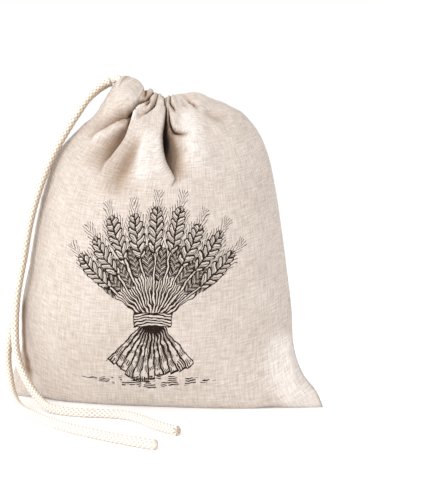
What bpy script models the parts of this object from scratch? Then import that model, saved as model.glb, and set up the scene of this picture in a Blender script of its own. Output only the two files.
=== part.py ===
"""Linen drawstring bread bag, standing full with its neck drawn in.

One length of linen is folded across the bottom, sewn up both sides, and its top edge is
turned inside as the channel of one braided cotton cord, whose two ends leave it together
at the left side seam. Frame: +Z up, the front faces -Y, and the origin is on the surface
that the bag stands on. Sizes are in millimetres, and MM turns them into metres.
"""

import math

import bmesh
import bpy
import numpy as np

MM = 0.001

# Driving sizes. Flat, the bag is 260 wide and about 295 high.
CLOTH = 1.0
CORD = 7.0
CORD_IN_HEM = 6.1
GAP = 0.45
COLUMNS = 44
STITCH_UP = 275.0
CORD_UP = 283.0

# The body, a row for each height of cloth above the bottom fold: where the side seams and
# the middle of the front and back lie, how blunt the section is (power, blunt), how late it
# climbs towards the seams (climb), how much of the cloth is crowded towards the middle by
# the cord (crowd), and how far the foot stands turned, its right end forward (turn). The
# lowest rows are the flat foot.
SECTION_NAMES = (
    "up", "left_x", "left_z", "right_x", "right_z", "seam_y",
    "front_y", "back_y", "mid_z", "power", "blunt", "climb", "crowd", "turn",
)
SECTIONS = (
    (0, -131.4, 1.5, 131.4, 1.5, -7, -7, -7, 0.0, 2.6, 1.00, 6.0, 0.00, 0.20),
    (15, -130.6, 14.0, 126.0, 14.0, -5, -17, 8, 0.0, 2.8, 1.00, 6.0, 0.00, 0.20),
    (28, -127.6, 26.0, 117.0, 25.0, -4, -27, 21, 0.0, 2.8, 1.00, 6.0, 0.00, 0.19),
    (40, -122.0, 38.5, 112.0, 35.5, -2, -35, 31, 9.5, 2.7, 0.92, 4.2, 0.00, 0.16),
    (56, -119.6, 55.0, 108.6, 50.0, -1, -42.5, 41, 26.0, 2.5, 0.84, 3.4, 0.00, 0.11),
    (80, -117.0, 79.0, 107.6, 74.0, 0, -49, 48, 51.0, 2.4, 0.75, 3.2, 0.00, 0.05),
    (115, -109.4, 114.0, 103.7, 109.0, 1, -53, 53, 86.0, 2.3, 0.70, 3.2, 0.00, 0.01),
    (150, -103.6, 148.5, 99.2, 143.5, 1, -54, 54, 121.0, 2.2, 0.70, 3.2, 0.02, 0.00),
    (185, -95.1, 182.5, 93.3, 178.0, 0, -52, 50, 156.0, 2.2, 0.70, 3.2, 0.08, 0.00),
    (210, -86.0, 206.0, 87.0, 202.0, -2, -48, 42, 180.5, 2.3, 0.68, 3.2, 0.18, 0.00),
    (235, -66.4, 224.0, 76.5, 220.0, -4, -42, 33, 205.5, 2.4, 0.64, 3.2, 0.38, 0.00),
    (257, -49.0, 235.0, 66.0, 230.0, -6, -36, 25, 226.0, 2.6, 0.60, 3.2, 0.70, 0.00),
    (STITCH_UP, -39.5, 239.5, 53.0, 236.5, -7, -28, 14, 241.5, 3.0, 0.58, 3.2, 1.00, 0.00),
    (CORD_UP, -34.0, 246.5, 45.0, 240.5, -7, -22, 8, 248.5, 3.0, 0.58, 3.2, 1.00, 0.00),
)

# How the drawn cord shares out the cloth: a fraction of the cloth from the left seam to the
# right one, and the fraction of the mouth that it reaches. The middle is packed the tightest.
CROWD_NAMES = ("cloth", "mouth")
CROWDS = ((0.0, 0.0), (0.3, 0.36), (0.5, 0.515), (0.7, 0.64), (1.0, 1.0))

# The two cord ends pull the left corner of the mouth up into an ear.
EAR_RISE = 16.5
EAR_START_X = -5.0
EAR_FULL_X = -27.0
EAR_FROM_UP = 225.0

# The hem: how high the cord and the crest lie in it, and how the gathers ruffle it.
CORD_RISE = 8.0
CREST_RISE = 14.4
RUFFLE = 2.6
CREST_DIP = 1.2
FULL_PLEAT = 4.0
SEAM_FADE_COLUMNS = 2.5
FOOT_FADE_ROWS = 2.0
SOFTENING = 2
SOFT_SPACING = 2.5

# The channel round the cord, a row for each turn of the hem section: how far it lies above
# the stitch line and outside the ring through it, and how much the gathers ruffle it.
CHANNEL = (
    (0.0, 0.8, 0.0),
    (3.0, 3.8, 0.6),
    (CORD_RISE, 4.9, 1.0),
    (12.4, 3.4, 0.9),
    (CREST_RISE, 0.0, 0.0),
    (12.4, -3.4, -0.5),
    (CORD_RISE, -4.9, -0.6),
    (3.0, -3.8, -0.4),
    (0.0, -0.8, 0.0),
)
# The channel is open at the left seam: the hem stops this many columns short of it.
OPEN_COLUMNS = 3

# How the drawing is sampled: points across one thread, along one fold's line and between
# two points of a cord's route, and the rows of cloth between some heights above the fold.
THREAD_POINTS = 241
FOLD_POINTS = 33
ROUTE_POINTS = 12
ROWS = ((0.0, 28.0, 3), (28.0, 64.0, 4), (64.0, 185.0, 6), (185.0, STITCH_UP, 10))
WELD = 0.02

# Main folds, a row for each: its line on the front view from the mouth over a bend to its
# foot, its depth at the mouth and at its deepest (a ridge is negative), its half width at
# the top and the foot, and the side on which it is steep (-1 left, 1 right, 0 neither).
FOLD_NAMES = (
    "top_x", "top_z", "bend_x", "bend_z", "foot_x", "foot_z",
    "top_depth", "depth", "top_width", "foot_width", "steep",
)
FRONT_FOLDS = (
    (-11.0, 258, -24, 238, -66, 216, 2.0, 10.0, 4.4, 7.0, 0.1),
    (-18.0, 236, -33, 225, -58, 200, 0.0, 10.0, 4.0, 7.0, 0.3),
    (-19.0, 224, -28, 204, -40, 172, 0.0, 5.0, 7.0, 13.0, 0.0),
    (-4.6, 258, -5, 248, -11, 240, 3.0, 3.4, 2.8, 4.0, 0.0),
    (-6.0, 236, -11, 205, -13, 175, 0.0, -3.0, 7.0, 14.0, 0.0),
    (2.0, 258, 0, 222, 15, 168, 2.6, 10.0, 5.6, 11.0, -0.1),
    (9.0, 258, 9, 236, 22, 219, 3.2, 5.0, 3.2, 6.0, 0.0),
    (17.0, 238, 27, 215, 32, 180, 0.0, -4.0, 7.0, 16.0, 0.0),
    (16.0, 258, 18, 248, 22, 238, 2.4, 2.0, 3.0, 4.0, 0.0),
    (25.0, 258, 29, 250, 36, 241, 2.0, 2.4, 3.0, 4.0, 0.0),
    (118.0, 4, 108, 26, 104, 62, -4.0, -8.0, 10.0, 16.0, 0.0),
)
BACK_FOLDS = (
    (-22.0, 258, -30, 236, -52, 196, 2.6, 7.0, 3.4, 11.0, 0.3),
    (-13.0, 258, -17, 232, -26, 184, 3.2, 6.0, 3.2, 10.0, -0.3),
    (-5.5, 258, -6, 240, -10, 214, 3.2, 4.0, 2.8, 6.0, 0.0),
    (2.0, 258, 3, 228, 2, 168, 3.4, 8.0, 3.0, 12.0, 0.3),
    (9.5, 258, 13, 236, 20, 206, 3.2, 5.0, 2.8, 7.0, 0.0),
    (17.5, 258, 26, 232, 44, 186, 3.0, 7.0, 3.2, 11.0, -0.3),
    (28.0, 258, 40, 238, 62, 214, 2.0, 4.0, 3.4, 8.0, 0.0),
)

# The two free ends, from the slit over the shoulder, down the left side and along the
# surface in front of the bag.
FRONT_TAIL = (
    (-39.8, -13.0, 264.6), (-42.8, -12.7, 263.8), (-47.6, -12.9, 260.7), (-53.0, -13.8, 255.8),
    (-59.5, -14.8, 248.4), (-65.0, -15.4, 240.3), (-75.3, -16.4, 224.0), (-84.6, -17.2, 207.7),
    (-95.3, -18.4, 183.3), (-100.8, -18.6, 167.0), (-105.3, -18.2, 150.7), (-111.7, -17.0, 118.0),
    (-118.0, -14.6, 85.1), (-119.3, -13.6, 68.6), (-119.4, -13.6, 56.2), (-118.2, -15.0, 43.2),
    (-112.3, -20.6, 28.3), (-101.1, -32.0, 13.7), (-91.1, -44.0, 6.5), (-81.4, -59.0, 4.2),
    (-66.0, -70.5, 3.5), (-52.0, -76.0, 3.5), (-35.0, -78.5, 3.5), (-20.0, -84.0, 3.5),
    (-6.0, -100.0, 3.5), (9.0, -124.0, 3.5), (26.0, -146.0, 3.5),
)
BACK_TAIL = (
    (-39.8, -1.4, 264.6), (-43.0, -1.8, 263.9), (-48.2, -2.8, 260.9), (-54.6, -4.2, 256.0),
    (-61.0, -5.6, 249.4), (-66.6, -6.2, 241.3), (-77.4, -6.8, 225.2), (-87.6, -8.2, 209.2),
    (-97.5, -9.4, 183.7), (-102.9, -9.6, 167.3), (-107.5, -9.4, 150.8), (-113.8, -8.0, 117.8),
    (-121.1, -5.4, 86.1), (-123.9, -4.0, 68.6), (-126.6, -4.2, 51.9), (-127.3, -8.0, 38.2),
    (-123.3, -18.0, 23.0), (-116.4, -34.0, 10.0), (-107.9, -51.0, 4.4), (-99.0, -69.0, 3.5),
    (-87.0, -88.0, 3.5), (-72.0, -110.0, 3.5), (-55.0, -132.0, 3.5), (-35.0, -152.0, 3.5),
    (-12.0, -172.0, 3.5), (16.0, -193.0, 3.5),
)
CORD_STEP = 13.0
LOOP_FROM_X = -27.0
LOOP_LEAD = 5.0
END_STRAIGHT = 2.5
LOOP_POINTS = 36
LOOP_STEP = 4.5

# A fold reaches its depth and dies away over this share of its line, and a fully steep one
# is this much narrower on its steep side and wider on the other.
FOLD_GROWTH = 0.45
FOLD_LEAN = 0.6

LINEN = (0.56, 0.49, 0.42, 1.0)
COTTON = (0.80, 0.74, 0.65, 1.0)


def start_scene(name):
    for thing in list(bpy.data.objects):
        bpy.data.objects.remove(thing, do_unlink=True)
    collection = bpy.data.collections.new(name)
    bpy.context.scene.collection.children.link(collection)
    return collection


def cloth_material(name, colour, roughness):
    material = bpy.data.materials.new(name)
    material.use_nodes = True
    shader = material.node_tree.nodes["Principled BSDF"]
    shader.inputs["Base Color"].default_value = colour
    shader.inputs["Roughness"].default_value = roughness
    shader.inputs["Metallic"].default_value = 0.0
    return material


def column(table, names, name):
    return np.array([row[names.index(name)] for row in table], float)


def read(table, names, name, at):
    """One column of a table at any value of its first column, on a smooth curve."""
    knots = column(table, names, names[0])
    values = column(table, names, name)
    slopes = np.gradient(values, knots)
    at = np.clip(np.asarray(at, float), knots[0], knots[-1])
    k = np.clip(np.searchsorted(knots, at) - 1, 0, len(knots) - 2)
    span = knots[k + 1] - knots[k]
    t = (at - knots[k]) / span
    rise = t * t * (3 - 2 * t)
    bow = span * t * (1 - t) * ((1 - t) * slopes[k] - t * slopes[k + 1])
    return values[k] * (1 - rise) + values[k + 1] * rise + bow


def smoothstep(x):
    x = np.clip(x, 0.0, 1.0)
    return x * x * (3 - 2 * x)


def length_along(points):
    steps = np.linalg.norm(np.diff(points, axis=0), axis=1)
    return np.concatenate(([0.0], np.cumsum(steps)))


def unit(vectors):
    return vectors / np.maximum(np.linalg.norm(vectors, axis=-1, keepdims=True), 1e-9)


def section_line(up, side):
    """One thread across the front (side -1) or back (side 1), as a fine smooth line."""
    row = {name: float(read(SECTIONS, SECTION_NAMES, name, up)) for name in SECTION_NAMES}
    across = np.sin(np.linspace(-math.pi / 2, math.pi / 2, THREAD_POINTS))
    middle_x = (row["left_x"] + row["right_x"]) / 2
    half_x = (row["right_x"] - row["left_x"]) / 2
    bulge = (1 - np.abs(across) ** row["power"]) ** row["blunt"]
    depth = row["front_y"] if side < 0 else row["back_y"]
    seam_z = np.where(across < 0, row["left_z"], row["right_z"])
    x = middle_x + half_x * across
    y = row["seam_y"] + (depth - row["seam_y"]) * bulge - row["turn"] * x
    z = row["mid_z"] + (seam_z - row["mid_z"]) * np.abs(across) ** row["climb"]
    lift = smoothstep((up - EAR_FROM_UP) / (STITCH_UP - EAR_FROM_UP))
    z += EAR_RISE * lift * smoothstep((x - EAR_START_X) / (EAR_FULL_X - EAR_START_X))
    return np.stack([x, y, np.maximum(z, CLOTH / 2)], axis=1)


def section_row(up, side):
    """The same thread at evenly cut points, crowded together as the cord draws them."""
    line = section_line(up, side)
    cloth = np.linspace(0, 1, COLUMNS + 1)
    crowd = float(read(SECTIONS, SECTION_NAMES, "crowd", up))
    share = cloth + crowd * (read(CROWDS, CROWD_NAMES, "mouth", cloth) - cloth)
    run = length_along(line)
    return np.stack([np.interp(share * run[-1], run, line[:, k]) for k in range(3)], axis=1)


def girth_row(up):
    """One thread all round: from the left seam over the front and home over the back."""
    return np.concatenate((section_row(up, -1), section_row(up, 1)[-2:0:-1]))


def round_tangent(rows):
    return unit(np.roll(rows, -1, axis=-2) - np.roll(rows, 1, axis=-2))


def fold_depth(x, z, fold):
    """How deep one fold lies at places of the front view."""
    f = dict(zip(FOLD_NAMES, fold))
    t = np.linspace(0, 1, FOLD_POINTS)
    line_x = (1 - t) ** 2 * f["top_x"] + 2 * t * (1 - t) * f["bend_x"] + t * t * f["foot_x"]
    line_z = (1 - t) ** 2 * f["top_z"] + 2 * t * (1 - t) * f["bend_z"] + t * t * f["foot_z"]
    away_x = x[..., None] - line_x
    away_z = z[..., None] - line_z
    near = np.argmin(away_x ** 2 + away_z ** 2, axis=-1)
    tangent_x = np.gradient(line_x)[near]
    tangent_z = np.gradient(line_z)[near]
    size = np.hypot(tangent_x, tangent_z)
    off_x = np.take_along_axis(away_x, near[..., None], -1)[..., 0]
    off_z = np.take_along_axis(away_z, near[..., None], -1)[..., 0]
    sideways = (off_z * tangent_x - off_x * tangent_z) / size
    beyond = (off_x * tangent_x + off_z * tangent_z) / size
    at = t[near]
    width = f["top_width"] + (f["foot_width"] - f["top_width"]) * at
    lean = 1 - FOLD_LEAN * f["steep"] * np.where(sideways > 0, 1, -1)
    grow = smoothstep(at / FOLD_GROWTH)
    depth = f["top_depth"] + (f["depth"] - f["top_depth"]) * grow
    depth = depth * smoothstep((1 - at) / FOLD_GROWTH)
    fade = np.where((near == 0) & (f["top_depth"] == 0), np.exp(-(beyond / width) ** 2), 1.0)
    return depth * fade * np.exp(-((sideways / (width * lean)) ** 2))


def fold_cloth(rows):
    """Presses the folds into the smooth cloth, square to its surface."""
    outward = unit(np.cross(round_tangent(rows), np.gradient(rows, axis=0)))
    depth = np.zeros(rows.shape[:2])
    for columns, folds in ((slice(1, COLUMNS), FRONT_FOLDS), (slice(COLUMNS + 1, None), BACK_FOLDS)):
        panel = rows[:, columns]
        off_seam = np.minimum(np.arange(1, COLUMNS), np.arange(COLUMNS - 1, 0, -1))
        fade = smoothstep(off_seam / SEAM_FADE_COLUMNS)
        depth[:, columns] = fade * sum(fold_depth(panel[..., 0], panel[..., 2], fold) for fold in folds)
    depth *= smoothstep(np.arange(len(rows)) / FOOT_FADE_ROWS)[:, None]
    folded = rows - outward * depth[..., None]
    spacing = np.linalg.norm(np.roll(rows, -1, axis=1) - rows, axis=-1, keepdims=True)
    share = smoothstep(1.5 - spacing / SOFT_SPACING) / 2
    for _ in range(SOFTENING):
        beside = (np.roll(folded, 1, axis=1) + np.roll(folded, -1, axis=1)) / 2
        folded = folded * (1 - share) + beside * share
    folded[..., 2] = np.maximum(folded[..., 2], CLOTH / 2)
    return folded, depth


def channel_frame(stitch, cord_ring):
    """Directions up the channel and out of it, at each point of the ring of stitches."""
    upward = unit(cord_ring - stitch)
    return upward, unit(np.cross(round_tangent(stitch), upward))


def channel_rows(stitch, depth):
    """The turned hem: out over the cord, over the crest and down inside to the stitches."""
    upward, outward = channel_frame(stitch, girth_row(CORD_UP))
    pleat = smoothstep(depth / FULL_PLEAT)[:, None]
    rows = []
    for rise, out, ruffle in CHANNEL:
        hold = max(0.0, 1 - rise / CORD_RISE) ** 2
        crest = (rise / CREST_RISE) ** 4
        away = out + RUFFLE * ruffle * (1 - pleat) - depth[:, None] * hold
        rows.append(stitch + outward * away + upward * (rise - CREST_DIP * crest * pleat))
    return np.array(rows)


def cloth_rows():
    """Every thread across the cut length, from the bottom fold to the end of the hem."""
    ups = [up for low, high, count in ROWS for up in np.linspace(low, high, count + 1)[:-1]]
    smooth = np.array([girth_row(up) for up in ups + [STITCH_UP]])
    folded, depth = fold_cloth(smooth)
    return np.concatenate((folded[:-1], channel_rows(smooth[-1], depth[-1])))


def bag_cloth():
    """The cut length as one grid round the girth, drawn into shape and sewn up."""
    rows = cloth_rows()
    last_row, girth = rows.shape[0] - 1, rows.shape[1]
    hem_row = last_row + 1 - len(CHANNEL)
    cut = bmesh.new()
    bmesh.ops.create_grid(cut, x_segments=girth, y_segments=last_row, size=1.0)
    for vert in cut.verts:
        i = round((vert.co.x + 1) / 2 * girth)
        j = round((vert.co.y + 1) / 2 * last_row)
        vert.co = rows[j, i % girth] * MM
        vert.tag = j >= hem_row and min(i, girth - i) <= OPEN_COLUMNS
    opening = [face for face in cut.faces if all(vert.tag for vert in face.verts)]
    bmesh.ops.delete(cut, geom=opening, context="FACES")
    bmesh.ops.remove_doubles(cut, verts=cut.verts, dist=WELD * MM)
    corners = [vert for vert in cut.verts if len(vert.link_edges) == 2]
    for corner in corners:
        for face in list(corner.link_faces):
            across = [v for v in face.verts if not any(corner in e.verts for e in v.link_edges)]
            bmesh.ops.connect_vert_pair(cut, verts=[corner, across[0]])
    bmesh.ops.recalc_face_normals(cut, faces=cut.faces)
    mesh = bpy.data.meshes.new("bag_cloth")
    cut.to_mesh(mesh)
    cut.free()
    mesh.shade_smooth()
    return mesh


def smooth_route(points, step):
    """Points at even steps along a smooth curve through a route's own points."""
    points = np.array(points, float)
    knots = length_along(points)
    slopes = np.gradient(points, knots, axis=0)
    fine = []
    for k in range(len(points) - 1):
        span = knots[k + 1] - knots[k]
        for t in np.linspace(0, 1, ROUTE_POINTS, endpoint=False):
            rise = t * t * (3 - 2 * t)
            bow = span * t * (1 - t) * ((1 - t) * slopes[k] - t * slopes[k + 1])
            fine.append(points[k] * (1 - rise) + points[k + 1] * rise + bow)
    fine = np.array(fine + [points[-1]])
    fine[:, 2] = np.maximum(fine[:, 2], CORD / 2)
    run = length_along(fine)
    count = max(2, round(run[-1] / step))
    at = np.linspace(0, run[-1], count + 1)
    at = np.insert(at, [1, count], [END_STRAIGHT, run[-1] - END_STRAIGHT])
    return np.stack([np.interp(at, run, fine[:, k]) for k in range(3)], axis=1)


def cord_curve(name, points, width):
    curve = bpy.data.curves.new(name, "CURVE")
    curve.dimensions = "3D"
    curve.bevel_depth = width / 2 * MM
    curve.bevel_resolution = 3
    curve.use_fill_caps = True
    spline = curve.splines.new("POLY")
    spline.points.add(len(points) - 1)
    for point, place in zip(spline.points, points):
        point.co = (*(place * MM), 1.0)
    return curve


def loop_route():
    """The cord inside the channel: from the slit round the mouth and back to the slit."""
    stitch = girth_row(STITCH_UP)
    middle = stitch + channel_frame(stitch, girth_row(CORD_UP))[0] * CORD_RISE
    middle = middle[middle[:, 0] > LOOP_FROM_X]
    run = length_along(middle)
    at = np.linspace(0, run[-1], LOOP_POINTS)
    middle = np.stack([np.interp(at, run, middle[:, k]) for k in range(3)], axis=1)
    leads = []
    for tail in (FRONT_TAIL, BACK_TAIL):
        inward = unit(np.array(tail[0]) - np.array(tail[1]))
        leads.append([tail[0] + inward * reach for reach in (GAP, GAP + END_STRAIGHT, LOOP_LEAD)])
    return np.concatenate((leads[0], middle, leads[1][::-1]))


def build():
    collection = start_scene("linen_bread_bag")
    linen = cloth_material("natural_linen", LINEN, 0.92)
    cotton = cloth_material("braided_cotton", COTTON, 0.9)

    bag = bpy.data.objects.new("bag_cloth", bag_cloth())
    bag.data.materials.append(linen)
    thick = bag.modifiers.new("cloth_thickness", "SOLIDIFY")
    thick.thickness = CLOTH * MM
    thick.offset = 0.0
    collection.objects.link(bag)

    cords = {
        "drawcord_loop": (smooth_route(loop_route(), LOOP_STEP), CORD_IN_HEM),
        "drawcord_tail_front": (smooth_route(FRONT_TAIL, CORD_STEP), CORD),
        "drawcord_tail_back": (smooth_route(BACK_TAIL, CORD_STEP), CORD),
    }
    for name, (points, width) in cords.items():
        cord = bpy.data.objects.new(name, cord_curve(name, points, width))
        cord.data.materials.append(cotton)
        collection.objects.link(cord)


build()
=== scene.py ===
"""A linen drawstring bread bag, standing full on a pale table with its neck drawn in."""

import math

import bmesh
import bpy
import numpy as np
from mathutils import Matrix, Vector, noise


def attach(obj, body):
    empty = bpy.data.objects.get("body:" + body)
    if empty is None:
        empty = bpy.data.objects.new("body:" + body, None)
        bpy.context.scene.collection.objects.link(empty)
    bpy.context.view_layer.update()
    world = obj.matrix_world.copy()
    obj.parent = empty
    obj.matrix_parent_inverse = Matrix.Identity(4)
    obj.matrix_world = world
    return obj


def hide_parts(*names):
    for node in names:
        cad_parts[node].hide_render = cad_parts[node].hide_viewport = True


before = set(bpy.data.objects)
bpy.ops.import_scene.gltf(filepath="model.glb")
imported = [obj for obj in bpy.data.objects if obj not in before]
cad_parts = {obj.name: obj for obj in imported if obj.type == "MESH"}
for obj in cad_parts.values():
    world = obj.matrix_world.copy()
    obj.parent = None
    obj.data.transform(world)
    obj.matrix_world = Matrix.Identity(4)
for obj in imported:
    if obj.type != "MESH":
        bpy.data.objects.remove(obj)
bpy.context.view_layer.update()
scene = bpy.context.scene

# --- Camera ---------------------------------------------------------------------------
# A 75 mm lens stands 0.85 m in front of the bag, slightly to the right and about level
# with the middle of the cloth. It looks a little to the left and very slightly down.
CAMERA_AT = (0.08885, -0.85234, 0.140)
LENS, SENSOR = 75.05, 36.0
HEADING, PITCH, ROLL = -2.826, -0.828, -0.158
camera_data = bpy.data.cameras.new("camera")
camera_data.lens = LENS
camera_data.sensor_width = SENSOR
camera = bpy.data.objects.new("camera", camera_data)
scene.collection.objects.link(camera)
scene.camera = camera
heading, pitch, roll = (math.radians(angle) for angle in (HEADING, PITCH, ROLL))
forward = Vector((math.sin(heading) * math.cos(pitch), math.cos(heading) * math.cos(pitch), math.sin(pitch)))
level = Vector((math.cos(heading), -math.sin(heading), 0.0))
upright = level.cross(forward)
right = level * math.cos(roll) + upright * math.sin(roll)
above = upright * math.cos(roll) - level * math.sin(roll)
axes = Matrix((right, above, -forward)).transposed().to_4x4()
camera.matrix_world = Matrix.Translation(CAMERA_AT) @ axes

# --- Drawcord -------------------------------------------------------------------------
# One length of round cotton cord, braided from twelve soft yarns, six winding each way.
# It runs round the mouth inside the hem and both cut ends leave it at the left side seam.
MM = 0.001  # sizes from here on are in millimetres
CORD = 7.0  # width
YARNS, LAY_LENGTH = 6, 25.0  # yarns winding each way, and how far one takes to go round
BRAID_RELIEF, YARN_INSET = 0.4, 0.12  # depth between the yarns, and of their tops inside the full width
CROSSING = 0.9  # how far a yarn rises over the one it crosses, against its own roundness
END_ROUNDING, END_ROUNDNESS, END_RELIEF = 1.1, 2.4, 0.3  # length, bluntness and relief of an end
FRAY, FRAY_LENGTH = 0.35, 5.0  # how far a cut end opens, and over what length
# Painted shade: the cord's side towards the bag is coloured darker, as if in the bag's shade.
SHADED_SIDE, SIDE_SHADE, SIDE_SHADE_FROM = (0.95, 0.3, 0.0), 0.6, 0.45  # the darker side, towards the bag
FIRST_SIDE = (0.31, 0.87, 0.38)  # any direction that neither tail nor loop starts along
CORD_COLUMNS, TAIL_STEP, CORD_WELD = 64, 0.55, 0.01  # the mesh round the cord and along it
ROUTE_SAMPLES, PATH_EVERY = 12, 4
FRONT_TAIL = (
    (-39.8, -13.0, 264.6), (-42.8, -12.7, 263.8), (-47.6, -12.9, 260.7), (-53.0, -13.8, 255.8),
    (-59.5, -14.8, 248.4), (-65.0, -15.4, 240.3), (-75.3, -16.4, 224.0), (-84.6, -17.2, 207.7),
    (-95.3, -18.4, 183.3), (-100.8, -18.6, 167.0), (-105.3, -18.2, 150.7), (-111.7, -17.0, 118.0),
    (-118.0, -14.6, 85.1), (-119.3, -13.6, 68.6), (-119.4, -13.6, 56.2), (-118.2, -15.0, 43.2),
    (-112.3, -20.6, 28.3), (-101.1, -32.0, 13.7), (-91.1, -44.0, 6.5), (-81.4, -59.0, 4.2),
    (-66.0, -70.5, 3.5), (-52.0, -76.0, 3.5), (-35.0, -78.5, 3.5), (-20.0, -84.0, 3.5),
    (-6.0, -100.0, 3.5), (9.0, -124.0, 3.5), (26.0, -146.0, 3.5),
)
BACK_TAIL = (
    (-39.8, -1.4, 264.6), (-43.0, -1.8, 263.9), (-48.2, -2.8, 260.9), (-54.6, -4.2, 256.0),
    (-61.0, -5.6, 249.4), (-66.6, -6.2, 241.3), (-77.4, -6.8, 225.2), (-87.6, -8.2, 209.2),
    (-97.5, -9.4, 183.7), (-102.9, -9.6, 167.3), (-107.5, -9.4, 150.8), (-113.8, -8.0, 117.8),
    (-121.1, -5.4, 86.1), (-123.9, -4.0, 68.6), (-126.6, -4.2, 51.9), (-127.3, -8.0, 38.2),
    (-123.3, -18.0, 23.0), (-116.4, -34.0, 10.0), (-107.9, -51.0, 4.4), (-99.0, -69.0, 3.5),
    (-87.0, -88.0, 3.5), (-72.0, -110.0, 3.5), (-55.0, -132.0, 3.5), (-35.0, -152.0, 3.5),
    (-12.0, -172.0, 3.5), (16.0, -193.0, 3.5),
)


def length_along(points):
    """How far along a line each of its points is."""
    steps = np.linalg.norm(np.diff(points, axis=0), axis=1)
    return np.concatenate(([0.0], np.cumsum(steps)))


def unit(vectors):
    return vectors / np.maximum(np.linalg.norm(vectors, axis=-1, keepdims=True), 1e-9)


def smoothstep(x):
    x = np.clip(x, 0.0, 1.0)
    return x * x * (3 - 2 * x)


def linear(hex_colour):
    """sRGB hex to the linear values that a shader takes."""
    parts = [int(hex_colour[k:k + 2], 16) / 255 for k in (1, 3, 5)]
    return tuple(c / 12.92 if c <= 0.04045 else ((c + 0.055) / 1.055) ** 2.4 for c in parts) + (1.0,)


def add(tree, kind, settings=None, **links):
    """Adds a node; a link's name is the socket's with _ for a space, or i0, i1 for its number."""
    node = tree.nodes.new(kind)
    for name, value in (settings or {}).items():
        setattr(node, name, value)
    for name, source in links.items():
        numbered = name[0] == "i" and name[1:].isdigit()
        socket = node.inputs[int(name[1:]) if numbered else name.replace("_", " ")]
        if isinstance(source, bpy.types.NodeSocket):
            tree.links.new(source, socket)
        else:
            socket.default_value = source
    return node


def curve_through(knots, values, at):
    """A smooth curve through values at knots."""
    slopes = np.gradient(values, knots)
    at = np.clip(np.asarray(at, float), knots[0], knots[-1])
    k = np.clip(np.searchsorted(knots, at) - 1, 0, len(knots) - 2)
    span = knots[k + 1] - knots[k]
    t = (at - knots[k]) / span
    rise = t * t * (3 - 2 * t)
    bow = span * t * (1 - t) * ((1 - t) * slopes[k] - t * slopes[k + 1])
    return values[k] * (1 - rise) + values[k + 1] * rise + bow


def points_at(line, run, at):
    """Points at some distances along a line, where run is how far along its own points are."""
    return np.stack([np.interp(at, run, line[:, k]) for k in range(3)], axis=1)


def smooth_route(points, step):
    """Points at even steps along a smooth curve through a route's own points."""
    points = np.array(points, float)
    knots = length_along(points)
    spans = len(points) - 1
    samples = np.interp(np.arange(spans * ROUTE_SAMPLES + 1) / ROUTE_SAMPLES, np.arange(spans + 1), knots)
    fine = np.stack([curve_through(knots, points[:, k], samples) for k in range(3)], axis=1)
    fine[:, 2] = np.maximum(fine[:, 2], CORD / 2)
    run = length_along(fine)
    return points_at(fine, run, np.linspace(0, run[-1], max(2, round(run[-1] / step)) + 1))


def braid_height(around, along):
    """Relief, 0 to 1, of a plain one-over-one braid: around and along are in yarn widths."""
    rising, falling = around + along, around - along
    lift = CROSSING * np.cos(math.pi * np.floor(rising)) * np.cos(math.pi * np.floor(falling))
    round_rising = np.cos(math.pi * (rising % 1 - 0.5))
    round_falling = np.cos(math.pi * (falling % 1 - 0.5))
    highest = np.maximum(round_rising + lift * round_falling, round_falling - lift * round_rising)
    return float(highest) / (1 + CROSSING)


def braided_cord(name, route, width, frayed):
    """A closed tube round a route, raised where a yarn passes over another."""
    side = np.zeros_like(route)
    tangent = unit(np.gradient(route, axis=0))
    square = np.cross(tangent[0], FIRST_SIDE)
    for k, ahead in enumerate(tangent):
        square = square - ahead * np.dot(square, ahead)
        square = square / np.linalg.norm(square)
        side[k] = square
    across = np.cross(tangent, side)
    run = length_along(route)
    rows = len(route)
    tube = bmesh.new()
    bmesh.ops.create_grid(tube, x_segments=CORD_COLUMNS, y_segments=rows - 1, size=1.0)
    relief_and_shade_layer = tube.verts.layers.float.new("relief_and_shade")
    weave_uv = tube.loops.layers.uv.new("cord_mm")
    for vert in tube.verts:
        i = round((vert.co.x + 1) / 2 * CORD_COLUMNS)
        j = round((vert.co.y + 1) / 2 * (rows - 1))
        turn = i % CORD_COLUMNS / CORD_COLUMNS
        for loop in vert.link_loops:
            loop[weave_uv].uv = (i / CORD_COLUMNS * math.pi * width, run[j])
        height = braid_height(YARNS * turn, YARNS * run[j] / LAY_LENGTH)
        cap = min(1.0, min(run[j], run[-1] - run[j]) / END_ROUNDING)
        flare = FRAY * max(0.0, 1 - (run[-1] - run[j]) / FRAY_LENGTH) if frayed else 0.0
        round_off = math.sqrt(max(0.0, 1 - (1 - cap) ** END_ROUNDNESS))
        dip = BRAID_RELIEF * (1 - height) * (END_RELIEF + (1 - END_RELIEF) * cap)
        reach = (width / 2 - YARN_INSET - dip + flare) * round_off
        angle = 2 * math.pi * turn
        facing = side[j] * math.cos(angle) + across[j] * math.sin(angle)
        vert.co = (route[j] + facing * reach) * MM
        # The side towards the bag gets a painted shade, kept with the braid's relief for the colour.
        shaded_here = float(smoothstep(np.dot(facing, SHADED_SIDE) + SIDE_SHADE_FROM))
        vert[relief_and_shade_layer] = height * (1 - SIDE_SHADE * shaded_here)
    bmesh.ops.remove_doubles(tube, verts=tube.verts, dist=CORD_WELD * MM)
    bmesh.ops.recalc_face_normals(tube, faces=tube.faces)
    mesh = bpy.data.meshes.new(name)
    tube.to_mesh(mesh)
    tube.free()
    mesh.shade_smooth()
    cord = bpy.data.objects.new(name, mesh)
    scene.collection.objects.link(cord)
    return cord
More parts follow.
